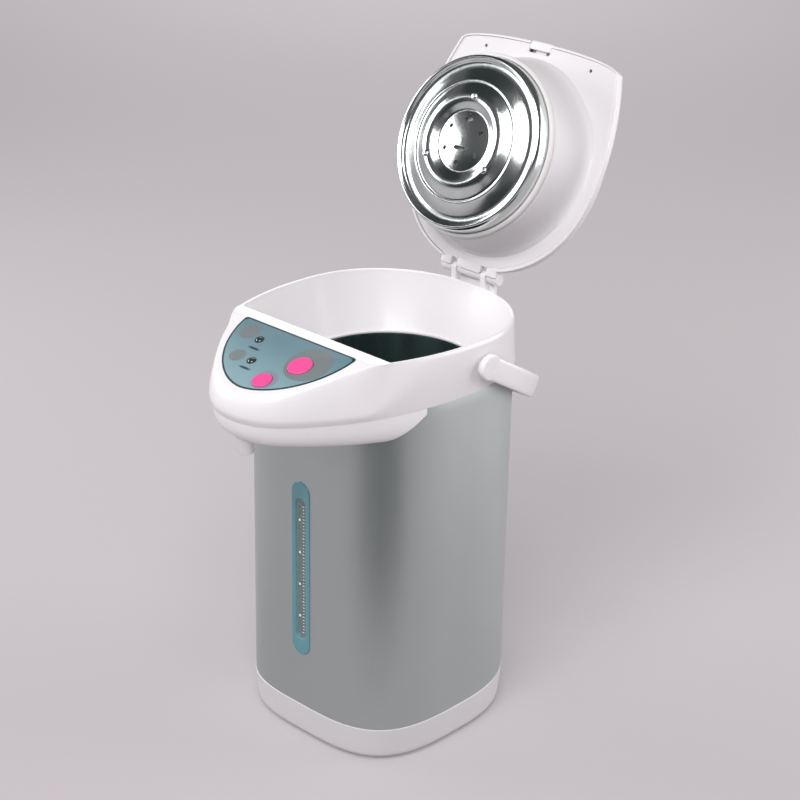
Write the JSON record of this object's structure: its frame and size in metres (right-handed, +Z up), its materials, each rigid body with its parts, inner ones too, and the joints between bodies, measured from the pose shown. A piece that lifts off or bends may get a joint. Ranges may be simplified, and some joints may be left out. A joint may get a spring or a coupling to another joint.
{
  "type": "electric thermo pot",
  "caption": "Insulated electric water boiler with an overhanging control nose, deep hinged lid shown open, steel body with a level window, folding bail handle and swivel base",
  "frame": {"origin": "centre of the swivel base's underside, on the table", "axes": "+Z up, front (nose and spout) toward -Y, +X to the right seen from the front"},
  "size_m": [0.2274, 0.3887, 0.5912],
  "materials": {
    "body_steel": "satin lacquered steel sheet",
    "white_gloss": "moulded gloss",
    "white_matte": "moulded satin",
    "bright_steel": "bright zinc plate",
    "pad_rubber": "matt rubber",
    "pot_coating": "dark non-stick coated steel",
    "seal_rubber": "cream silicone",
    "heater_alloy": "die-cast",
    "shield_alloy": "rolled sheet",
    "dark_plastic": "heat-resistant black",
    "clear_tube": "clear",
    "teal_plastic": "printed teal film",
    "pink_plastic": "bright pink",
    "lens_plastic": "clear lens",
    "board_green": "circuit board",
    "mirror_steel": "polished stainless steel"
  },
  "bodies": {
    "housing": {"outer_body": "body_steel", "base_skirt": "white_gloss", "bottom_cover": "white_matte", "bottom_screws": "bright_steel", "inner_pot": "pot_coating", "pot_ring": "white_matte", "pot_gasket": "seal_rubber", "heater_plate": "heater_alloy", "thermostats": "white_matte", "heat_shield": "shield_alloy", "pump_housing": "white_matte", "pump_motor": "bright_steel", "inlet_hose": "seal_rubber", "outlet_hose": "seal_rubber", "level_tube": "clear_tube", "level_frame": "teal_plastic", "level_lens": "clear_tube", "riser_pipe": "white_matte", "spout": "white_gloss", "head_shell": "white_gloss", "head_chin": "white_gloss", "control_panel": "teal_plastic", "key_switches": "dark_plastic", "indicator_lenses": "lens_plastic", "control_board": "board_green", "main_board": "board_green", "power_inlet": "dark_plastic", "handle_studs": "bright_steel", "hinge_pin": "bright_steel"},
    "turntable": {"swivel_base": "white_matte", "swivel_pads": "pad_rubber", "swivel_clip": "bright_steel"},
    "lid": {"lid_shell": "white_gloss", "lid_inner": "white_gloss", "lid_liner": "mirror_steel", "lid_gasket": "seal_rubber", "liner_screws": "bright_steel", "steam_vent": "white_matte"},
    "latch": {"lid_latch": "white_gloss"},
    "bail": {"handle": "white_gloss"},
    "dispense_key": {"dispense_button": "pink_plastic"},
    "reboil_key": {"reboil_button": "pink_plastic"},
    "impeller": {"pump_impeller": "dark_plastic"}
  },
  "joints": [
    {"name": "lid_hinge", "type": "hinge", "parent": "housing", "child": "lid", "pos_m": [0, 0.107, 0.395], "axis": [1, 0, 0], "range_deg": [0, 114]},
    {"name": "latch_slide", "type": "slide", "parent": "lid", "child": "latch", "axis": [0, -0.4067, -0.9135], "range_m": [0, 0.0025], "stiffness_N_per_m": 600, "springref_m": -0.002},
    {"name": "bail_pivot", "type": "hinge", "parent": "housing", "child": "bail", "pos_m": [0, 0.0075, 0.364], "axis": [1, 0, 0], "range_deg": [0, 38]},
    {"name": "dispense_press", "type": "slide", "parent": "housing", "child": "dispense_key", "axis": [0, 0.3173, -0.9483], "range_m": [0, 0.0006], "stiffness_N_per_m": 1500, "springref_m": -0.0005},
    {"name": "reboil_press", "type": "slide", "parent": "housing", "child": "reboil_key", "axis": [0, 0.3173, -0.9483], "range_m": [0, 0.0006], "stiffness_N_per_m": 1500, "springref_m": -0.0005},
    {"name": "base_swivel", "type": "hinge", "parent": "housing", "child": "turntable", "pos_m": [0, 0, 0.005], "axis": [0, 0, 1], "continuous": true},
    {"name": "pump_spin", "type": "hinge", "parent": "housing", "child": "impeller", "pos_m": [0, -0.05, 0.04], "axis": [0, 0, 1], "continuous": true}
  ]
}
